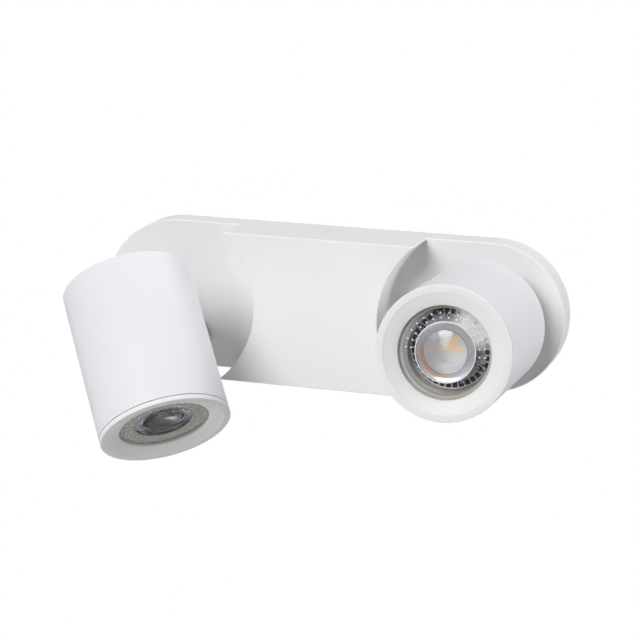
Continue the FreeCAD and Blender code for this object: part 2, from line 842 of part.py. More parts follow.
def lamp_pins():
    pins = []
    inner_back = lamp_back_y - lamp_base_thickness
    end_y = lamp_back_y + lamp_pin_length
    for end in (-1, 1):
        profile = [
            (0, inner_back), (lamp_pin_radius, inner_back),
            (lamp_pin_radius, end_y - lamp_pin_head_height),
            (lamp_pin_head_radius, end_y - lamp_pin_head_height),
            (lamp_pin_head_radius, end_y - screw_bevel), (lamp_pin_head_radius - screw_bevel, end_y),
            (0, end_y),
        ]
        pins.append(moved(turned(profile), 0, 0, end * lamp_pin_spacing / 2))
    return Part.makeCompound(pins)


def lamp_lens():
    """A clear lens: a flat plate with a collar and a dome, and a light-gathering cone behind."""
    face = lamp_front_y + lens_recess
    plate_back = face + lens_plate
    moat = face + lens_moat_depth
    dome_top = moat - lens_dome_rise
    tip = plate_back + lens_cone_depth
    sphere = (lens_dome_radius ** 2 + lens_dome_rise ** 2) / (2 * lens_dome_rise)
    shoulder = lens_dome_radius / 2
    shoulder_y = dome_top + sphere - math.sqrt(sphere ** 2 - shoulder ** 2)
    edges = [
        line(vec(0, dome_top + lens_plate, 0), vec(0, dome_top, 0)),
        arc(vec(0, dome_top, 0), vec(shoulder, shoulder_y, 0), vec(lens_dome_radius, moat, 0)),
    ]
    outline = [
        (lens_dome_radius, moat), (lens_collar_radius - lens_collar_width, moat),
        (lens_collar_radius - lens_collar_width, face), (lens_radius, face), (lens_radius, plate_back),
        (lens_collar_radius, plate_back), (lens_cone_radius, tip), (lens_hollow_width, tip),
        (lens_hollow_width, tip - lens_hollow_depth), (0, dome_top + lens_plate),
    ]
    points = [vec(radius, y, 0) for radius, y in outline]
    edges += [line(start, end) for start, end in zip(points, points[1:])]
    return Part.Face(Part.Wire(edges)).revolve(vec(0, 0, 0), vec(0, 1, 0), 360)


def led_board():
    top = chip_face_y + chip_height
    return rod(board_radius, vec(0, top, 0), vec(0, top + board_thickness, 0))


def led_chips():
    chips = []
    half = chip_size / 2
    for k in range(chip_count):
        angle = math.radians(360 * k / chip_count + first_chip_degrees)
        x = chip_circle_radius * math.cos(angle)
        z = chip_circle_radius * math.sin(angle)
        chips.append(box(x - half, x + half, chip_face_y, chip_face_y + chip_height, z - half, z + half))
    return Part.makeCompound(chips)


def lampholder():
    """A ceramic holder with two sockets for the lamp's pins."""
    body = box(-holder_width / 2, holder_width / 2, holder_front_y, holder_back_y,
               -holder_length / 2, holder_length / 2)
    body = rounded(body, holder_round, lambda edge: along_y(edge, holder_height))
    for end in (-1, 1):
        socket_z = end * lamp_pin_spacing / 2
        body = body.cut(rod(socket_radius, vec(0, holder_front_y - past, socket_z),
                            vec(0, holder_front_y + socket_depth, socket_z)))
    for end in (-1, 1):
        screw_z = end * (holder_length / 2 - holder_screw_inset)
        body = body.cut(rod(small_screw_radius + fit_gap, vec(0, holder_back_y - small_screw_length, screw_z),
                            vec(0, holder_back_y + past, screw_z)))
    return body


def holder_bridge():
    """A bent steel strip that carries the lampholder off the closed back."""
    half_span = holder_length / 2
    half_width_of = bridge_width / 2
    floor = back_y - back_wall
    top = box(-half_width_of, half_width_of, holder_back_y, holder_back_y + bridge_steel,
              -half_span - bridge_steel, half_span + bridge_steel)
    bridge = top
    for end in (-1, 1):
        z0 = end * half_span
        z1 = end * (half_span + bridge_steel)
        z2 = end * (half_span + bridge_steel + bridge_foot)
        leg = box(-half_width_of, half_width_of, holder_back_y, floor, min(z0, z1), max(z0, z1))
        foot = box(-half_width_of, half_width_of, floor - bridge_steel, floor, min(z0, z2), max(z0, z2))
        hole_z = end * (half_span + bridge_steel + bridge_foot / 2)
        hole = rod(small_screw_radius + fit_gap, vec(0, floor - 2 * bridge_steel, hole_z),
                   vec(0, floor + past, hole_z))
        top_z = end * (half_span - holder_screw_inset)
        top_hole = rod(small_screw_radius + fit_gap, vec(0, holder_back_y - past, top_z),
                       vec(0, holder_back_y + 2 * bridge_steel, top_z))
        bridge = bridge.fuse(leg).fuse(foot).cut(hole).cut(top_hole)
    return bridge.removeSplitter()


def holder_screws():
    """Two screws into the holder and two through the bridge's feet into the back."""
    screws = []
    floor = back_y - back_wall
    for end in (-1, 1):
        upper = slotted_screw(small_head_radius, small_head_height, small_screw_radius,
                              small_screw_length)
        upper.rotate(vec(0, 0, 0), vec(0, 0, 1), 180)
        screws.append(moved(upper, 0, holder_back_y + bridge_steel,
                            end * (holder_length / 2 - holder_screw_inset)))
        lower = slotted_screw(small_head_radius, small_head_height, small_screw_radius, foot_screw_length)
        foot_z = end * (holder_length / 2 + bridge_steel + bridge_foot / 2)
        screws.append(moved(lower, 0, floor - bridge_steel, foot_z))
    return Part.makeCompound(screws)


def head_lead():
    """From the side of the lampholder to the hinge pin, inside the arm's channel."""
    start_y = holder_front_y + lead_holder_depth
    side_x = holder_width / 2
    end_x = hinge_offset - hinge_pin_radius - lead_pin_gap
    points = [
        vec(side_x, start_y, 0),
        vec(side_x + lead_holder_run, start_y, 0),
        vec(end_x, hinge_y + lead_pin_side, 0),
    ]
    return lead(points)


def on_side(shape, name, tilts):
    """Tilts a head about its hinge, turns it about the swivel and moves it to its side."""
    side, pan, tilt = poses[name]
    placed = shape.copy()
    if tilts:
        placed.rotate(vec(hinge_offset, hinge_y, 0), vec(0, 0, 1), tilt)
    placed.rotate(vec(0, 0, 0), vec(0, -1, 0), pan)
    placed.translate(vec(side * swivel_x, 0, 0))
    return placed


def glide_washer():
    return tube(glide_radius, stud_radius + stud_clearance, foot_face, plate_face)


base_pieces = {
    "base_housing": base_housing,
    "wall_bracket": wall_bracket,
    "upper_catch_spring": upper_catch_spring,
    "lower_catch_spring": lower_catch_spring,
    "cable_grommet": cable_grommet,
    "terminal_block": terminal_block,
    "terminal_screws": terminal_screws,
    "terminal_fixing_screws": terminal_fixing_screws,
    "earth_screw": earth_screw,
}
arm_pieces = {
    "tilt_arm": tilt_arm,
    "swivel_stud": swivel_stud,
    "glide_washer": glide_washer,
    "stop_washer": stop_washer,
    "spring_washer": spring_washer,
    "swivel_nut": swivel_nut,
    "arm_lead": arm_lead,
}
head_pieces = {
    "head_body": head_body,
    "front_ring": front_ring,
    "hinge_screw": hinge_screw,
    "hinge_nut": hinge_nut,
    "friction_washers": friction_washers,
    "lampholder": lampholder,
    "holder_bridge": holder_bridge,
    "holder_screws": holder_screws,
    "head_lead": head_lead,
    "lamp_gasket": lamp_gasket,
    "lamp_shell": lamp_shell,
    "lamp_pins": lamp_pins,
    "lamp_lens": lamp_lens,
    "led_board": led_board,
    "led_chips": led_chips,
}


def write(shape, node):
    shape.exportStep("parts/" + node + ".step")


os.makedirs("parts", exist_ok=True)
for node, make in base_pieces.items():
    write(make(), node)
for name in poses:
    write(base_lead(poses[name][0]), name + "_base_lead")
for tilts, pieces in ((False, arm_pieces), (True, head_pieces)):
    for node, make in pieces.items():
        drawn = make()
        for name in poses:
            write(on_side(drawn, name, tilts), name + "_" + node)
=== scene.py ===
# %% [markdown]
# # A wall light with two pivoting spotlights
# The light is a white sheet-steel base with a short arm at each end, and on each
# arm a can that pans and tilts. The measured solids come from the packed frame,
# and this script gives them their finishes. It models again only the pieces whose
# looks need finer detail than the measured solids have: the front rings and the
# lenses of the lamps.

# %% Load the packed frame
import json
import math
import bpy
from mathutils import Matrix, Vector


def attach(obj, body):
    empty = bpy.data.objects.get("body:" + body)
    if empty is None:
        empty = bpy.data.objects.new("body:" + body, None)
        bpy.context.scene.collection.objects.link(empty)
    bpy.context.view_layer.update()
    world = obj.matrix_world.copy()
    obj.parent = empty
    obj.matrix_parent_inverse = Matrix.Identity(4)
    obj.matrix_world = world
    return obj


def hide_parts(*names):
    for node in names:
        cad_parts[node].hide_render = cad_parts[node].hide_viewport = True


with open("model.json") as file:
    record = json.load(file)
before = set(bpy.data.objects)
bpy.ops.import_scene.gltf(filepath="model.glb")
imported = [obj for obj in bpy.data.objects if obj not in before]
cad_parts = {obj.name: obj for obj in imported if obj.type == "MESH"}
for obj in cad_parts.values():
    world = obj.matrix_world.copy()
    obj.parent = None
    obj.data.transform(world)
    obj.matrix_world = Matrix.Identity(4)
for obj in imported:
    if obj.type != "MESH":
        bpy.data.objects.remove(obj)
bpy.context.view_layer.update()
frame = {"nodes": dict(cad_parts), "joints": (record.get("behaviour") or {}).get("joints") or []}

MM = 0.001


def deselect_all():
    """Leaves edit mode and deselects, because an operator acts on all that is selected."""
    if bpy.context.object and bpy.context.object.mode != "OBJECT":
        bpy.ops.object.mode_set(mode="OBJECT")
    bpy.ops.object.select_all(action="DESELECT")


deselect_all()

# %% [markdown]
# ## Camera
# A photograph's view is set by where the lens stands, how it is turned and how
# narrow it is. The camera here looks at a point near the base's middle from the
# right and a little above, with a long lens, as product photographs are taken.
# A camera could be turned by three angles or made to track an object. This one
# leans by a degree and a half, so its matrix is built from its own three axes.

# %% Place the camera
AZIMUTH = math.radians(16.175)
ELEVATION = math.radians(12.054)
ROLL = math.radians(1.470)
DISTANCE = 1210.23 * MM
TARGET = Vector((-10.227, 0.0, -12.769)) * MM
LENS_LENGTH_MM = 124.44
SENSOR_WIDTH_MM = 36
SEES_AS_FAR_AS = 50

back = Vector((math.sin(AZIMUTH) * math.cos(ELEVATION),
               -math.cos(AZIMUTH) * math.cos(ELEVATION), math.sin(ELEVATION)))
level = (-back).cross(Vector((0, 0, 1))).normalized()
upright = level.cross(-back)
across = level * math.cos(ROLL) + upright * math.sin(ROLL)
upwards = upright * math.cos(ROLL) - level * math.sin(ROLL)
spot = TARGET + back * DISTANCE

scene = bpy.context.scene
eye = bpy.data.objects.new("camera", bpy.data.cameras.new("camera"))
scene.collection.objects.link(eye)
eye.data.lens = LENS_LENGTH_MM
eye.data.sensor_width = SENSOR_WIDTH_MM
eye.data.clip_end = SEES_AS_FAR_AS
eye.matrix_world = Matrix((
    (across.x, upwards.x, back.x, spot.x),
    (across.y, upwards.y, back.y, spot.y),
    (across.z, upwards.z, back.z, spot.z),
    (0, 0, 0, 1)))
scene.camera = eye
print("camera at", [round(value, 4) for value in spot])

# %% [markdown]
# ## Light
# White goods are photographed in a tent of white cloth with lamps behind it, so
# every face is lit and only corners and gaps turn grey. Area lamps could stand
# close to the object, but their light falls off along it. Twelve sun lamps stand
# here for the cloth, because a sun is as bright everywhere, and each one's disc is
# 30 degrees wide, so that its shadows are soft. The strongest is in front and a
# little to the left, so the cans throw their shadows to the right, and four from
# behind draw the bright upper edges.

# %% Light the scene
LAMP_WIDTH = math.radians(30)
TENT_GLOW = 0.12
CLOTH_LAMPS = (
    # round the left, from the front to behind
    (-15, 30, 2.55), (-45, 30, 0.31), (-75, 30, 0.19), (-105, 30, 0.36),
    # at the right, and from behind there
    (75, 30, 0.09), (105, 30, 1.95), (105, 0, 0.92),
    # from below, as the cloth throws it back
    (15, -30, 0.20), (-90, -60, 0.96), (0, -60, 0.38), (45, -60, 0.36),
    # from high up behind
    (-135, 60, 0.57),
)


def soft_light(azimuth, elevation, power):
    """A wide, distant lamp: azimuth 0 is in front, positive to the right."""
    turn, rise = math.radians(azimuth), math.radians(elevation)
    towards = Vector((math.sin(turn) * math.cos(rise),
                      -math.cos(turn) * math.cos(rise), math.sin(rise)))
    lamp = bpy.data.lights.new("cloth_lamp", "SUN")
    lamp.angle = LAMP_WIDTH
    lamp.energy = power
    holder = bpy.data.objects.new("cloth_lamp", lamp)
    scene.collection.objects.link(holder)
    holder.rotation_euler = towards.to_track_quat("Z", "Y").to_euler()


scene.view_settings.view_transform = "Standard"
world = bpy.data.worlds.new("tent")
scene.world = world
world.use_nodes = True
world_light = world.node_tree.nodes["Background"].inputs
world_light["Color"].default_value = (1, 1, 1, 1)
world_light["Strength"].default_value = TENT_GLOW
for azimuth, elevation, power in CLOTH_LAMPS:
    soft_light(azimuth, elevation, power)
print("lights:", [light.name for light in bpy.data.lights])

# %% [markdown]
# ## Backdrop
# The light is photographed before plain white. A white world would do, but it
# would also light the object from all sides and wash its shadows out. A white
# ball stands far off all round instead, with its faces turned inwards. Only the
# camera sees it, so it changes no shade and no mirror image on the lamps.

# %% Put the backdrop round it
BACKDROP_RADIUS = 10.0
bpy.ops.mesh.primitive_uv_sphere_add(segments=64, ring_count=32, radius=BACKDROP_RADIUS)
backdrop = bpy.context.object
backdrop.name = "backdrop"
bpy.ops.object.mode_set(mode="EDIT")
bpy.ops.mesh.flip_normals()
bpy.ops.object.mode_set(mode="OBJECT")
backdrop.visible_diffuse = False
backdrop.visible_shadow = False
backdrop.visible_glossy = False
backdrop.visible_transmission = False
deselect_all()
print("backdrop radius in metres:", BACKDROP_RADIUS)

# %% [markdown]
# ## Shader maths written as maths
# A finish that varies over its surface is a small sum of patterns. Each step of
# that sum is a node, and its links could be drawn one by one. Wrapping a socket in
# a class with overloaded operators lets a line of Python add the Math nodes
# instead, which reads like the formula that it stands for.

# %% Wrap a socket so that it takes plain maths
class Value:
    """One output socket, on which plain maths can be written."""

    def __init__(self, finish, socket):
        self.finish = finish
        self.socket = socket

    def maths(self, operation, *others):
        inputs = dict(enumerate((self,) + others))
        return self.finish.node("ShaderNodeMath", {"operation": operation}, inputs)

    def reflected(self, operation, other):
        return self.finish.node("ShaderNodeMath", {"operation": operation}, {0: other, 1: self})

    def __add__(self, other):
        return self.maths("ADD", other)

    def __sub__(self, other):
        return self.maths("SUBTRACT", other)

    def __mul__(self, other):
        return self.maths("MULTIPLY", other)

    def __truediv__(self, other):
        return self.maths("DIVIDE", other)

    def __rsub__(self, other):
        return self.reflected("SUBTRACT", other)

    def __rtruediv__(self, other):
        return self.reflected("DIVIDE", other)

    __radd__ = __add__
    __rmul__ = __mul__


print("a value takes", [name for name in vars(Value) if name.startswith("__r")], "too")

# %% [markdown]
# ## One finish, one shader
# Paint, metal and plastic differ in a few numbers of one shader, so a finish here
# is a material with one Principled shader. What stays the same all over goes
# straight on its sockets, and what varies is linked to them. All nodes come from
# one method, and the short ones after it name the patterns that the finishes use.

# %% Make the finish class
BLACK, WHITE = (0, 0, 0), (1, 1, 1)


class Finish:
    """A material with one Principled shader; constants go straight on its sockets."""

    def __init__(self, name, colour, roughness, **sockets):
        self.material = bpy.data.materials.new(name)
        self.material.use_nodes = True
        self.tree = self.material.node_tree
        self.shader = self.tree.nodes["Principled BSDF"]
        self.put("Base Color", colour)
        self.put("Roughness", roughness)
        for label, value in sockets.items():
            self.put(label.replace("_", " "), value)

    def join(self, value, socket):
        """Links a value to a socket, or sets a number or a colour on it."""
        if isinstance(value, Value):
            self.tree.links.new(value.socket, socket)
        elif isinstance(value, tuple) and len(value) == 3 and len(socket.default_value) == 4:
            socket.default_value = value + (1,)
        else:
            socket.default_value = value

    def put(self, label, value):
        self.join(value, self.shader.inputs[label])

    def node(self, kind, settings=None, inputs=None, output=0):
        """Adds a node with its settings and its sockets' values, and returns one output."""
        made = self.tree.nodes.new(kind)
        for key, value in (settings or {}).items():
            if key == "stops":
                ramp = made.color_ramp.elements
                while len(ramp) < len(value):
                    ramp.new(0.5)
                for stop, (place, colour) in zip(ramp, value):
                    stop.position = place
                    stop.color = colour + (1,)
            else:
                setattr(made, key, value)
        for key, value in (inputs or {}).items():
            self.join(value, made.inputs[key])
        return Value(self, made.outputs[output])

    def place(self):
        return self.node("ShaderNodeTexCoord", output="Object")

    def noise(self, size_mm, detail=2.0, at=None):
        inputs = {"Vector": at or self.place(), "Scale": 1 / (size_mm * MM), "Detail": detail}
        return self.node("ShaderNodeTexNoise", inputs=inputs)

    def ramp(self, factor, *stops):
        return self.node("ShaderNodeValToRGB", {"stops": stops}, {"Fac": factor})

    def rise(self, factor, start, end):
        """0 up to the start, 1 from the end, and a slope between them."""
        return self.ramp(factor, (start, BLACK), (end, WHITE))

    def mix(self, factor, colour, other):
        """A Mix node for two colours, whose colour sockets are its seventh and eighth."""
        inputs = {"Factor": factor, 6: colour, 7: other}
        return self.node("ShaderNodeMix", {"data_type": "RGBA"}, inputs, 2)

    def round_the_axis(self, towards):
        """Distance from a head's axis in mm, and how far a point lies towards an angle: -1 to 1."""
        here = self.node("ShaderNodeAttribute", {"attribute_name": "upright"}, output="Vector")
        apart = self.node("ShaderNodeSeparateXYZ", {}, {"Vector": here})
        x = apart * (1 / MM)
        z = Value(self, apart.socket.node.outputs["Z"]) * (1 / MM)
        radius = (x * x + z * z).maths("SQRT")
        turn = math.radians(towards)
        return radius, (math.cos(turn) * x + math.sin(turn) * z) / radius

    def bump(self, height, height_mm):
        inputs = {"Strength": 1.0, "Distance": height_mm * MM, "Height": height}
        self.put("Normal", self.node("ShaderNodeBump", inputs=inputs))


print("a finish can", [name for name in vars(Finish) if not name.startswith("_")])

# %% [markdown]
# ## Powder coat
# The steel is sprayed with white powder that melts into a matt skin. Close up it
# has a very fine orange peel, a few tenths of a millimetre across, and its tone
# drifts a little over the piece. A painted texture would need each piece to be
# unwrapped. Noise at those two scales makes both without it, and fits any shape.

# %% Mix the powder coats
def powder_coat(name, light, dark):
    coat = Finish(name, light, 0.5, IOR=1.45)
    drift = coat.noise(60, detail=1)
    coat.put("Base Color", coat.ramp(drift, (0.3, dark), (0.7, light)))
    peel = coat.noise(0.55)
    coat.bump(peel, 0.012)
    coat.put("Roughness", 0.44 + 0.14 * coat.noise(1.6, detail=1))
    return coat.material


base_coat = powder_coat("white_powder_base", (0.735, 0.725, 0.722), (0.722, 0.712, 0.710))
head_coat = powder_coat("white_powder_head", (0.710, 0.703, 0.738), (0.698, 0.692, 0.726))
ring_coat = powder_coat("white_powder_ring", (0.745, 0.742, 0.742), (0.733, 0.730, 0.730))
print("coats:", base_coat.name, head_coat.name, ring_coat.name)

# %% [markdown]
# ## The backdrop's white
# The backdrop has to come out pure white, whatever light falls on it. A white
# paint would turn grey in the shade, so this finish is black and shines by itself.

# %% Finish the backdrop
paper = Finish("backdrop_white", BLACK, 1.0, Emission_Color=WHITE, Emission_Strength=1.0,
               Specular_IOR_Level=0.0)
backdrop.data.materials.append(paper.material)
print("backdrop finish:", paper.material.name)

# %% [markdown]
# ## Metals and plastics
# The inner pieces are seen only through gaps and from behind, but each has its
# own finish: brushed zinc, yellow brass, satin nickel, moulded nylon and rubber,
# chalky ceramic. A brushed look could be a picture of scratches. It is noise here,
# which is stretched along one direction, so that its grains become lines. Moulded
# pieces have an even, pitted grain.

# %% Mix the other finishes
BRUSHED_ALONG = (1, 1, 12)


def brushed(name, colour, roughness, metallic):
    metal = Finish(name, colour, roughness, Metallic=metallic)
    lines = metal.node("ShaderNodeMapping", {}, {"Vector": metal.place(), "Scale": BRUSHED_ALONG})
    grain = metal.noise(1.5, detail=3, at=lines)
    metal.put("Roughness", roughness - 0.08 + 0.2 * grain)
    metal.bump(grain, 0.004)
    return metal.material


def moulded(name, colour, roughness, grain_mm=0.4, depth_mm=0.01, **sockets):
    plastic = Finish(name, colour, roughness, **sockets)
    grain = plastic.noise(grain_mm)
    plastic.put("Roughness", roughness - 0.06 + 0.12 * plastic.noise(2.5))
    plastic.bump(grain, depth_mm)
    return plastic.material


zinc = brushed("zinc_plate", (0.72, 0.725, 0.735), 0.42, 0.45)
brass = brushed("brass_metal", (0.84, 0.64, 0.30), 0.32, 0.7)
nickel = brushed("nickel_metal", (0.76, 0.74, 0.70), 0.28, 0.7)
shell_grey = moulded("lamp_shell_grey", (0.43, 0.405, 0.37), 0.4)
# Painted glow: the chips shine a little by themselves though the lamp is off, for light the lens would
# carry to them.
phosphor_painted_glow = moulded("led_phosphor", (1.0, 0.60, 0.22), 0.5, Emission_Color=(1.0, 0.6, 0.25),
                   Emission_Strength=0.25)
nylon = moulded("white_nylon", (0.80, 0.79, 0.75), 0.45)
glide = moulded("glide_nylon", (0.74, 0.74, 0.72), 0.4)
sheath = moulded("lead_sheath", (0.86, 0.86, 0.84), 0.55)
rubber = moulded("grommet_rubber", (0.03, 0.03, 0.03), 0.65, 0.8, 0.02)
gasket = moulded("gasket_silicone", (0.82, 0.80, 0.77), 0.6)
ceramic = moulded("holder_ceramic", (0.86, 0.84, 0.78), 0.7, 0.9, 0.03)
board_white = moulded("board_white", (0.85, 0.85, 0.84), 0.4)
print("finishes:", len(bpy.data.materials))

# %% [markdown]
# ## A finish for every node
# Both sides of the light have the same pieces, so a node's finish follows from its
# name without the side. A list by kind is shorter than one by node, and a kind
# that isn't in it stops the script instead of staying grey.

# %% Give every node of the frame its finish
finish_of = {
    "base_housing": base_coat, "tilt_arm": base_coat, "head_body": head_coat,
    "front_ring": ring_coat, "wall_bracket": zinc,
    "upper_catch_spring": zinc, "lower_catch_spring": zinc, "cable_grommet": rubber,
    "terminal_block": nylon, "terminal_screws": brass, "terminal_fixing_screws": zinc,
    "earth_screw": brass, "base_lead": sheath, "arm_lead": sheath, "head_lead": sheath,
    "swivel_stud": zinc, "glide_washer": glide, "stop_washer": zinc,
    "spring_washer": zinc, "swivel_nut": zinc, "hinge_screw": zinc, "hinge_nut": zinc,
    "friction_washers": glide, "lampholder": ceramic, "holder_bridge": zinc,
    "holder_screws": zinc, "lamp_gasket": gasket, "lamp_shell": shell_grey,
    "lamp_pins": nickel, "led_board": board_white, "led_chips": phosphor_painted_glow,
    "lamp_lens": nylon,
}
for node in frame["nodes"]:
    kind = node.removeprefix("left_").removeprefix("right_")
    mesh = frame["nodes"][node].data
    mesh.materials.clear()
    mesh.materials.append(finish_of[kind])
print("finished nodes:", len(frame["nodes"]))

# %% [markdown]
# ## Where the heads are
# Each head is modelled once, upright on its own axis, and then tilted about its
# hinge and turned about its swivel as the joints of the frame say. Modelling at
# the slant would make every size hard to read.

# %% Read the poses from the joints
HINGE = Vector((27.5, -67.5, 0)) * MM
LEAN_BACK = 5.0
SIDES = ("left", "right")
joints = {joint["name"]: joint for joint in frame["joints"]}
head_place = {}
for side in SIDES:
    tilt_joint = joints[side + "_tilt"]
    axis = tilt_joint["axis"]
    pan = math.atan2(-axis[0], axis[2])
    tilt = math.radians(-LEAN_BACK - tilt_joint["range_deg"][0])
    swivel = Vector((joints[side + "_pan"]["pos_m"][0], 0, 0))
    tilted = (Matrix.Translation(HINGE) @ Matrix.Rotation(tilt, 4, "Z")
              @ Matrix.Translation(-HINGE))
    head_place[side] = (Matrix.Translation(swivel)
                        @ Matrix.Rotation(pan, 4, Vector((0, -1, 0))) @ tilted)
    print(side, "pan", round(math.degrees(pan), 2), "tilt", round(math.degrees(tilt), 2))

# %% [markdown]
# ## Round pieces
# Rings, cans and lenses are all turned shapes. A spin would sweep the section
# round in one go, but it needs a seam to be merged. Here a circle is drawn out
# along the head's axis step by step, and each new loop is sized about the axis, so
# that the steps follow the piece's section. A point on the axis closes the shape.

# %% Make the turning helper
CIRCLE_SIDES = 128


def draw_out(name, section, finishes, sides=CIRCLE_SIDES):
    """A turned piece from its section, a list of (radius, depth along the axis) in mm."""
    deselect_all()
    starts_closed = section[0][0] == 0
    first = section[1] if starts_closed else section[0]
    bpy.ops.mesh.primitive_circle_add(
        vertices=sides, radius=first[0] * MM, location=(0, first[1] * MM, 0),
        rotation=(math.radians(90), 0, 0), fill_type="TRIFAN" if starts_closed else "NOTHING")
    piece = bpy.context.object
    piece.name = name
    bpy.ops.object.transform_apply()
    bpy.ops.object.mode_set(mode="EDIT")
    bpy.ops.mesh.select_mode(type="VERT")
    bpy.ops.mesh.select_all(action="SELECT")
    if starts_closed:
        bpy.ops.mesh.select_non_manifold(extend=False)
        bpy.ops.mesh.select_all(action="INVERT")
        bpy.ops.transform.translate(value=(0, (section[0][1] - first[1]) * MM, 0))
        bpy.ops.mesh.select_all(action="INVERT")
        section = section[1:]
    for (radius, depth), (next_radius, next_depth) in zip(section, section[1:]):
        bpy.ops.mesh.extrude_region_move(
            TRANSFORM_OT_translate={"value": (0, (next_depth - depth) * MM, 0)})
        if next_radius == 0:
            bpy.ops.mesh.merge(type="CENTER")
        elif next_radius != radius:
            share = next_radius / radius
            bpy.ops.transform.resize(value=(share, 1, share),
                                     center_override=(0, next_depth * MM, 0))
    bpy.ops.mesh.select_all(action="SELECT")
    bpy.ops.mesh.remove_doubles(threshold=0.00001)
    bpy.ops.mesh.normals_make_consistent(inside=False)
    bpy.ops.object.mode_set(mode="OBJECT")
    for material in finishes:
        piece.data.materials.append(material)
    return piece


print("turning helper ready, sides:", CIRCLE_SIDES)

# %% [markdown]
# ## Edges
# No real edge is knife-sharp: paint and pressing round it, and the small round
# catches a line of light. A Bevel modifier rounds all edges over one angle at
# once, which is quicker than picking them, and is applied so that the round is
# part of the mesh.

# %% Make the edge helpers
SHARP_FROM = math.radians(25)


def soften(piece, width_mm, segments=3):
    """Rounds the sharp edges as paint and pressing leave them."""
    bpy.context.view_layer.objects.active = piece
    bevel = piece.modifiers.new("soften", "BEVEL")
    bevel.width = width_mm * MM
    bevel.segments = segments
    bevel.limit_method = "ANGLE"
    bevel.angle_limit = SHARP_FROM
    bpy.ops.object.modifier_apply(modifier="soften")


def smooth(piece, degrees=30):
    """Shades the piece as round wherever two faces meet at less than the angle."""
    deselect_all()
    piece.select_set(True)
    bpy.context.view_layer.objects.active = piece
    bpy.ops.object.shade_smooth_by_angle(angle=math.radians(degrees))
    deselect_all()


print("edges over", round(math.degrees(SHARP_FROM)), "degrees are rounded")

# %% [markdown]
# ## One piece, two heads
# The heads hold the same pieces. Two objects could share one mesh, but each copy
# has its own here, because its place is written into it. Every point also keeps
# its upright place as an attribute, so that a pattern can follow the round of the
# head after it has been tilted.

# %% Fit a finished piece to both heads
def on_both_heads(piece, slot, *replaced):
    """Copies an upright piece to each head, with its own mesh, and lets it ride there."""
    upright = piece.data.attributes.new("upright", "FLOAT_VECTOR", "POINT")
    for vertex in piece.data.vertices:
        upright.data[vertex.index].vector = vertex.co
    made = []
    for side in SIDES:
        twin = piece.copy()
        twin.data = piece.data.copy()
        twin.name = twin.data.name = side + "_" + piece.name
        scene.collection.objects.link(twin)
        twin.data.transform(head_place[side])
        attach(twin, side + "_head")
        for node in replaced:
            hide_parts(side + "_" + node)
        made.append(twin)
    bpy.data.objects.remove(piece)
    print("made", [twin.name for twin in made], "faces", len(made[0].data.polygons))
    return made


# %% [markdown]
# ## Front ring
# The ring is a separate aluminium turning that screws into the can, so that the
# lamp can be changed. It has a flat outer rim with a rounded edge, a small step,
# and a shallow cone that leads to the round aperture. A dark groove shows where it
# meets the can. The measured solid has the same outline. It is turned again from
# its section, because the bright lines on its edges need fine rounds.

# %% Turn the front ring
FRONT = -119.0
HEAD_RADIUS = 34.0
RIM_ROUND = 0.5
RIM_ROUND_STEPS = 4
RIM_BACK = FRONT + 2.4
SKIRT = 32.65
SKIRT_INSIDE = SKIRT - 1.6
SKIRT_BACK = FRONT + 8.4
LIP_BACK = FRONT + 3.8
APERTURE = 23.5
rim = []
for k in range(RIM_ROUND_STEPS + 1):
    turn = math.radians(90 / RIM_ROUND_STEPS * k)
    rim.append((HEAD_RADIUS - RIM_ROUND * (1 - math.sin(turn)), FRONT + RIM_ROUND * (1 - math.cos(turn))))
skirt = [
    (HEAD_RADIUS, RIM_BACK), (SKIRT, RIM_BACK), (SKIRT, SKIRT_BACK),
    (SKIRT_INSIDE, SKIRT_BACK), (SKIRT_INSIDE, LIP_BACK),
]
hollow_cone = [
    (APERTURE, LIP_BACK), (APERTURE, FRONT + 2.9), (25.6, FRONT + 1.88), (27.8, FRONT + 0.98),
    (30.1, FRONT + 0.22), (30.3, FRONT),
]
ring = draw_out("ring", rim + skirt + hollow_cone + rim[:1], [ring_coat], 160)
soften(ring, 0.28)
smooth(ring)
on_both_heads(ring, "white_powder_coat", "front_ring")

# %% [markdown]
# ## Lamp lens
# The lamp is a plug-in reflector lamp with a moulded lens. In its middle stands a
# low dome with fine rings, like ripples, which break the chips' image into soft
# arcs. Bump in the finish could draw such rings but would bend no light, so they
# are real shape in clear plastic. Its frosted back blurs what lies behind it a
# little. The ripples meet in sharp creases, so the section has six points to each.

# %% Draw the section of the rippled dome
LENS_FACE = -114.3
PLATE_BACK = LENS_FACE + 1.4
MOAT = LENS_FACE + 0.5
DOME = 10.9
DOME_RISE = 2.2
RIPPLE = 1.09
RIPPLES = 8
RIPPLE_DEPTH = 0.09
POINTS_PER_RIPPLE = 6
dome_sphere = (DOME ** 2 + DOME_RISE ** 2) / (2 * DOME_RISE)


def dome_depth(radius):
    """The dome's face: a low sphere with moulded rings over all but its border."""
    bow = MOAT - DOME_RISE + dome_sphere - math.sqrt(dome_sphere ** 2 - radius ** 2)
    if radius >= RIPPLES * RIPPLE:
        return bow
    return bow - RIPPLE_DEPTH * abs(math.sin(math.pi * radius / RIPPLE))


rippled = [RIPPLE * k / POINTS_PER_RIPPLE for k in range(RIPPLES * POINTS_PER_RIPPLE + 1)]
plain_border = [9.2, 9.8, 10.4, DOME]
dome_section = [(radius, dome_depth(radius)) for radius in rippled + plain_border]
print("points on the dome:", len(dome_section))

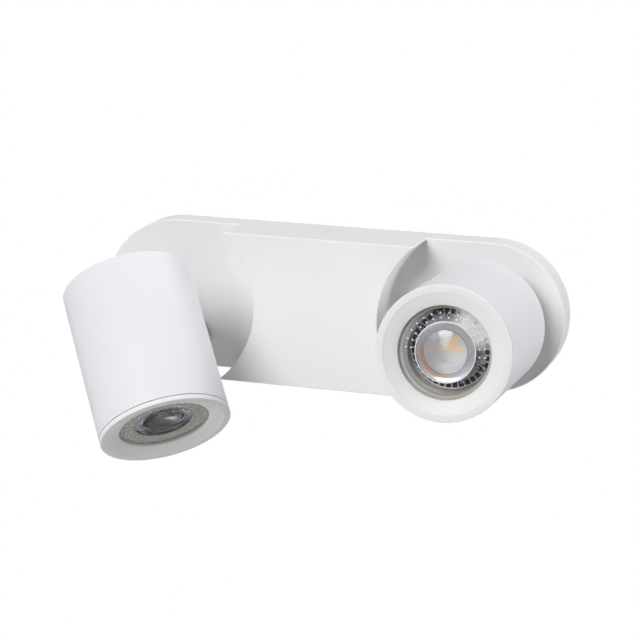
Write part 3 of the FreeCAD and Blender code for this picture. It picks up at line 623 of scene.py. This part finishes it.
# %% Turn the lens
PLATE = 14.8
GROOVE_OUTSIDE = 11.2
BEADING_TOP = MOAT - 0.12
PLATE_FACE = MOAT + 0.1
SAME_PLANE = 0.01
edge_section = [
    (11.28, MOAT + 0.15), (11.4, BEADING_TOP), (11.8, BEADING_TOP),
    (12.0, PLATE_FACE), (PLATE, PLATE_FACE), (PLATE, PLATE_BACK), (DOME, PLATE_BACK), (0, PLATE_BACK),
]
clear = Finish("clear_plastic", (0.99, 0.99, 1.0), 0.03, IOR=1.49, Transmission_Weight=1.0)
clear.put("Roughness", 0.01 + 0.05 * clear.noise(3.0))
frosted = Finish("frosted_back", (0.99, 0.99, 1.0), 0.22, IOR=1.49, Transmission_Weight=1.0)
frosted.bump(frosted.noise(0.9), 0.03)
# Painted shade: the groove's faces get a dark grey finish, for the dark line round the dome.
groove = moulded("groove_shade", (0.20, 0.205, 0.22), 0.4)
lens = draw_out("lens", dome_section + edge_section, [clear.material, frosted.material, groove])
for face in lens.data.polygons:
    if abs(face.center.y / MM - PLATE_BACK) < SAME_PLANE:
        face.material_index = 1
    elif DOME < math.hypot(face.center.x, face.center.z) / MM < GROOVE_OUTSIDE:
        face.material_index = 2
smooth(lens, 12)
on_both_heads(lens, "clear_lens", "lamp_lens")

# %% [markdown]
# ## Flange
# Round the dome lies a thin flat flange. It could be real glass like the dome, but
# nothing bends much in it, and each sheet of glass dims what lies behind. So it is
# mostly see-through, by its alpha, with a milky sector, which is a painted
# reflection, and a veiled border, which is a painted sheen.

# %% Mix the flange's film
PAINTED_REFLECTION_SIDE = 139
PAINTED_SHEEN_SIDE = -71
BORDER_FROM = 18.5
film = Finish("clear_film", (0.88, 0.89, 0.91), 0.06, IOR=1.49)
_, towards_painted_reflection = film.round_the_axis(PAINTED_REFLECTION_SIDE)
radius, towards_painted_sheen = film.round_the_axis(PAINTED_SHEEN_SIDE)
# Painted reflection in one milky sector, and a painted sheen near the border on another side.
milky_painted_reflection = film.rise(towards_painted_reflection, 0.80, 0.94) * (0.12 + 0.4 * film.noise(1.3))
veil_painted_sheen = 0.13 * film.rise(towards_painted_sheen, 0.1, 0.8) * film.rise(radius - BORDER_FROM, 0.2, 1)
film.put("Alpha", 0.025 * film.noise(4.0) + milky_painted_reflection + veil_painted_sheen)
print("nodes in the film:", len(film.tree.nodes))

# %% [markdown]
# ## Flange and collar
# A thin white collar marks the flange's inner edge. Both are square bands, turned
# from their four corners. The left lamp is seen from far aside, where its flange
# catches a haze of reflected light and its collar lies in shade, so the left copies
# get finishes of their own: a painted sheen on the flange and painted shade on the
# collar.

# %% Turn the flange and its collar
FLANGE = 23.0


def band(inside, outside, face, back):
    """The section of a flat, square ring."""
    return [(inside, face), (outside, face), (outside, back), (inside, back), (inside, face)]


flange = draw_out("lens_flange", band(15.0, FLANGE, LENS_FACE, LENS_FACE + 0.3), [film.material])
smooth(flange)
left_flange, _ = on_both_heads(flange, "clear_lens")
# Painted sheen: the left flange is made hazy and beige for the reflection it shows from aside.
hazy_painted_sheen = Finish("hazy_film", (0.80, 0.775, 0.74), 0.12, IOR=1.49)
hazy_painted_sheen.put("Alpha", 0.22 + 0.26 * hazy_painted_sheen.noise(1.8))
left_flange.data.materials[0] = hazy_painted_sheen.material

satin = moulded("satin_white_plastic", (0.86, 0.87, 0.88), 0.25)
collar = draw_out("lens_collar", band(14.85, 15.3, LENS_FACE - 0.15, LENS_FACE + 0.2), [satin])
soften(collar, 0.08, 2)
smooth(collar)
left_collar, _ = on_both_heads(collar, "clear_lens")
# Painted shade: the left collar gets a dark grey copy of the white satin.
left_collar.data.materials[0] = moulded("collar_in_shade", (0.36, 0.36, 0.355), 0.35)

# %% [markdown]
# ## Silver of the light cone
# Behind the dome a cone gathers the light of the chips. Its mouth is a pale satin
# step, and on one side that step mirrors the chips as a soft orange crescent. A
# true mirror would show the crescent only by luck, so it is mixed into the colour:
# by each point's distance from the axis and its angle round it.

# %% Mix the cone's silver
CRESCENT_SIDE = -41
CRESCENT_FROM = 10.6
CRESCENT_WIDTH = 4
PALE_SILVER = (0.80, 0.83, 0.88)
silver = Finish("cone_silver", PALE_SILVER, 0.30, Metallic=0.35)
radius, facing = silver.round_the_axis(CRESCENT_SIDE)
turn_mask = silver.rise(facing, 0.35, 0.7)
ring_mask = silver.ramp((radius - CRESCENT_FROM) / CRESCENT_WIDTH,
                        (0.1, BLACK), (0.2, WHITE), (0.62, WHITE), (0.8, BLACK))
broken = silver.ramp(silver.noise(1.6), (0.3, (0.5, 0.5, 0.5)), (0.6, WHITE))
silver.put("Base Color", silver.mix(turn_mask * ring_mask * broken, PALE_SILVER, (1.0, 0.54, 0.24)))
silver.bump(silver.noise(0.8), 0.02)
print("nodes in the silver:", len(silver.tree.nodes))

# %% [markdown]
# ## Silver in the shade
# The lamp that looks down is seen from far aside: its cone lies in shade, so it gets
# a darker copy of the silver, which is painted shade, with glitter at two opposite
# ends. Tiny lights would make the same glitter but also light the room, so specks of
# noise shine a little in the finish: painted highlights.

# %% Mix the dark cone of the lamp that looks down
ACROSS_THE_GLITTER = -15
PAINTED_SHADE_SILVER = (0.15, 0.17, 0.21)
# Painted shade: a darker copy of the cone's silver.
shade = Finish("cone_in_shade", PAINTED_SHADE_SILVER, 0.22, Metallic=0.5, Emission_Strength=0.8)
_, facing = shade.round_the_axis(ACROSS_THE_GLITTER)
ends = shade.ramp(facing.maths("ABSOLUTE"), (0.25, WHITE), (0.5, BLACK))
# Painted highlights: specks of noise at two ends, which also shine by themselves.
glitter = ends * shade.rise(shade.noise(0.7, detail=3), 0.5, 0.56)
shade.put("Base Color", shade.mix(glitter, PAINTED_SHADE_SILVER, WHITE))
shade.put("Emission Color", shade.mix(glitter, BLACK, (0.75, 0.8, 0.9)))
shade.bump(shade.noise(0.6), 0.04)
print("nodes in the shaded silver:", len(shade.tree.nodes))

# %% [markdown]
# ## Light cone
# The cone is a thin funnel, turned like the other round pieces: its section runs
# down the inside and back up the outside. Only the inside is silver, so the faces
# that look away from the axis get a dark finish, which is painted shade for the
# shadow round the cone inside the lamp.

# %% Turn the cone
CONE_MOUTH = 11.2
CONE_NARROWS = 4.8
CONE_TOP = PLATE_BACK + 2.2
CONE_LENGTH = 8.4
CONE_STEPS = 8
CONE_WALL = 0.5
mouth_step = [(PLATE, PLATE_BACK + 0.2), (13.2, PLATE_BACK + 0.9), (CONE_MOUTH, CONE_TOP)]
throat = [(CONE_MOUTH - CONE_NARROWS * k / CONE_STEPS, CONE_TOP + CONE_LENGTH * k / CONE_STEPS)
          for k in range(1, CONE_STEPS + 1)]
cone_inside = mouth_step + throat
cone_outside = [(radius + CONE_WALL, depth) for radius, depth in reversed(throat)]
cone_outside.append((PLATE, PLATE_BACK + 1.0))
# Painted shade: the cone's outside is dark grey.
painted_shade_outside = moulded("cone_outside", (0.16, 0.18, 0.22), 0.3)
cone = draw_out("lens_cone", cone_inside + cone_outside + cone_inside[:1], [silver.material, painted_shade_outside])
for face in cone.data.polygons:
    if face.normal.x * face.center.x + face.normal.z * face.center.z > 0:
        face.material_index = 1
smooth(cone, 40)
left_cone, _ = on_both_heads(cone, "clear_lens")
left_cone.data.materials[0] = shade.material

# %% [markdown]
# ## Beads on the lens
# Two rows of small moulded beads stand on the flange. They catch the light as
# rows of white points, and they are white all over: a painted highlight, since
# the beads are clear. White dots in the finish would not catch it from the side.
# One bead is shaped and then copied round, but not on the side turned to the
# hinge, where the flange is bare.

# %% Set the beads round the flange
BEADS = 28
BEAD_RADIUS = 0.46
BEAD_FLATNESS = 0.6
BEAD_ROWS = (19.7, 17.2)
FIRST_BEAD = 0.14
BARE_SIDE = math.radians(3)
BARE_BEYOND = 0.12
deselect_all()
bpy.ops.mesh.primitive_uv_sphere_add(segments=12, ring_count=8, radius=BEAD_RADIUS * MM)
bead = bpy.context.object
bpy.ops.object.mode_set(mode="EDIT")
bpy.ops.transform.resize(value=(1, BEAD_FLATNESS, 1))
bpy.ops.object.mode_set(mode="OBJECT")
# Painted highlight: the beads get the white satin.
bead.data.materials.append(satin)
copies = []
for row in BEAD_ROWS:
    for k in range(BEADS):
        angle = 2 * math.pi * (k + FIRST_BEAD) / BEADS
        if math.cos(angle - BARE_SIDE) > BARE_BEYOND:
            continue
        place = Vector((row * math.cos(angle), LENS_FACE - 0.1, row * math.sin(angle))) * MM
        copy = bead.copy()
        copy.data = bead.data.copy()
        scene.collection.objects.link(copy)
        copy.data.transform(Matrix.Translation(place))
        copies.append(copy)
bpy.data.objects.remove(bead)
deselect_all()
for copy in copies:
    copy.select_set(True)
bpy.context.view_layer.objects.active = copies[0]
bpy.ops.object.join()
beads = bpy.context.object
beads.name = "lens_beads"
smooth(beads, 60)
on_both_heads(beads, "clear_lens")

# %% [markdown]
# ## Vent ring behind the lens
# Round the chips' board lies a bright ring with small square vents, which look
# black through the lens. Boxes could be cut out of it, but a cut leaves ragged
# faces. The ring is turned in zones instead, with four faces to each vent, so that
# vents are pressed in and ribs stamped out by extruding whole faces.

# %% Turn the plain ring
VENTS = 36
FACES_PER_VENT = 4
VENT_FACE = -101.4
VENT_BACK = VENT_FACE + 1.0
RIBS_IN, RIBS_OUT, INNER_ROW, OUTER_ROW, VENTS_OUT = 15.0, 16.0, 17.2, 18.4, 19.9
# Painted shade: the vents' floors are near black, for the dark inside of the holes.
black = moulded("vent_black", (0.006, 0.006, 0.008), 0.6, Specular_IOR_Level=0.1)
mirror = Finish("vent_silver", (0.78, 0.81, 0.86), 0.22, Metallic=0.5)
mirror.put("Roughness", 0.14 + 0.24 * mirror.noise(1.2))
mirror.bump(mirror.noise(0.9), 0.05)
face_radii = (13.2, RIBS_IN, RIBS_OUT, INNER_ROW, OUTER_ROW, VENTS_OUT, 21.4)
ring_section = [(13.2, VENT_BACK)] + [(radius, VENT_FACE) for radius in face_radii]
ring_section += [(21.3, VENT_BACK), (13.2, VENT_BACK)]
vent_ring = draw_out("vent_ring", ring_section, [mirror.material, black, satin], VENTS * FACES_PER_VENT)
print("faces to press:", len(vent_ring.data.polygons))

# %% [markdown]
# ## Vents and ribs
# The vents follow a fixed, uneven rhythm of long and short ones, which a sum of
# two sines gives. Inside them the ring is stamped with fine ribs, which glitter.
# One sector of the ring is white, a painted reflection, and has only two vents.
# Whether a face is pressed follows from its radius and its angle, so the rules stand
# in two short functions instead of a list of faces.

# %% Press the vents and ribs into their ring
PAINTED_REFLECTION_FROM, PAINTED_REFLECTION_TO = 114, 164
WINDOWS = (11, 14)
OUTER_VENTS = ((66, 112), (166, 214))
VENT_DEPTH = 0.8
RIB_HEIGHT = 0.45


def is_vent(radius, turn):
    """Whether a face of the ring is part of a vent: turn is in degrees round the axis."""
    place = turn / (360 / VENTS)
    number, quarter = int(place), int(FACES_PER_VENT * (place % 1))
    rhythm = math.sin(number * 2.4) + math.sin(number * 5.3)
    if radius > VENTS_OUT:
        return any(low < turn < high for low, high in OUTER_VENTS)
    if PAINTED_REFLECTION_FROM < turn < PAINTED_REFLECTION_TO:
        return number in WINDOWS and quarter in (1, 2) and radius > INNER_ROW
    if quarter == 3:
        return False
    if INNER_ROW < radius < OUTER_ROW:
        return rhythm > -0.6 or quarter == 0
    if OUTER_ROW < radius < VENTS_OUT:
        return rhythm < 1.2 or quarter == 1
    return RIBS_OUT < radius < INNER_ROW and rhythm > 0.9 and quarter != 1


def is_rib(radius, turn):
    """Whether a face of the ring's inner zone stands proud, in two staggered rows."""
    step = int(turn / (360 / VENTS / FACES_PER_VENT))
    if radius < RIBS_OUT:
        return radius > RIBS_IN and step % 2 == 0
    return radius < INNER_ROW and step % 4 == 1


def where(face):
    """A face's radius in mm and its angle round the axis in degrees."""
    centre = face.center / MM
    return math.hypot(centre.x, centre.z), math.degrees(math.atan2(centre.z, centre.x)) % 360


def stamp(test, depth_mm, index=None):
    """Moves the faces of the ring that pass the test along its axis, with walls round them."""
    for face in vent_ring.data.polygons:
        on_face = abs(face.center.y / MM - VENT_FACE) < SAME_PLANE
        face.select = on_face and test(*where(face))
        if face.select and index is not None:
            face.material_index = index
    bpy.context.view_layer.objects.active = vent_ring
    bpy.ops.object.mode_set(mode="EDIT")
    bpy.ops.mesh.select_mode(type="FACE")
    bpy.ops.mesh.extrude_region_move(TRANSFORM_OT_translate={"value": (0, depth_mm * MM, 0)})
    bpy.ops.object.mode_set(mode="OBJECT")


# Painted reflection: the faces of one sector get the white satin.
for face in vent_ring.data.polygons:
    if PAINTED_REFLECTION_FROM < where(face)[1] < PAINTED_REFLECTION_TO:
        face.material_index = 2
stamp(is_vent, VENT_DEPTH, 1)
stamp(is_rib, -RIB_HEIGHT)
on_both_heads(vent_ring, "board_white")

# %% [markdown]
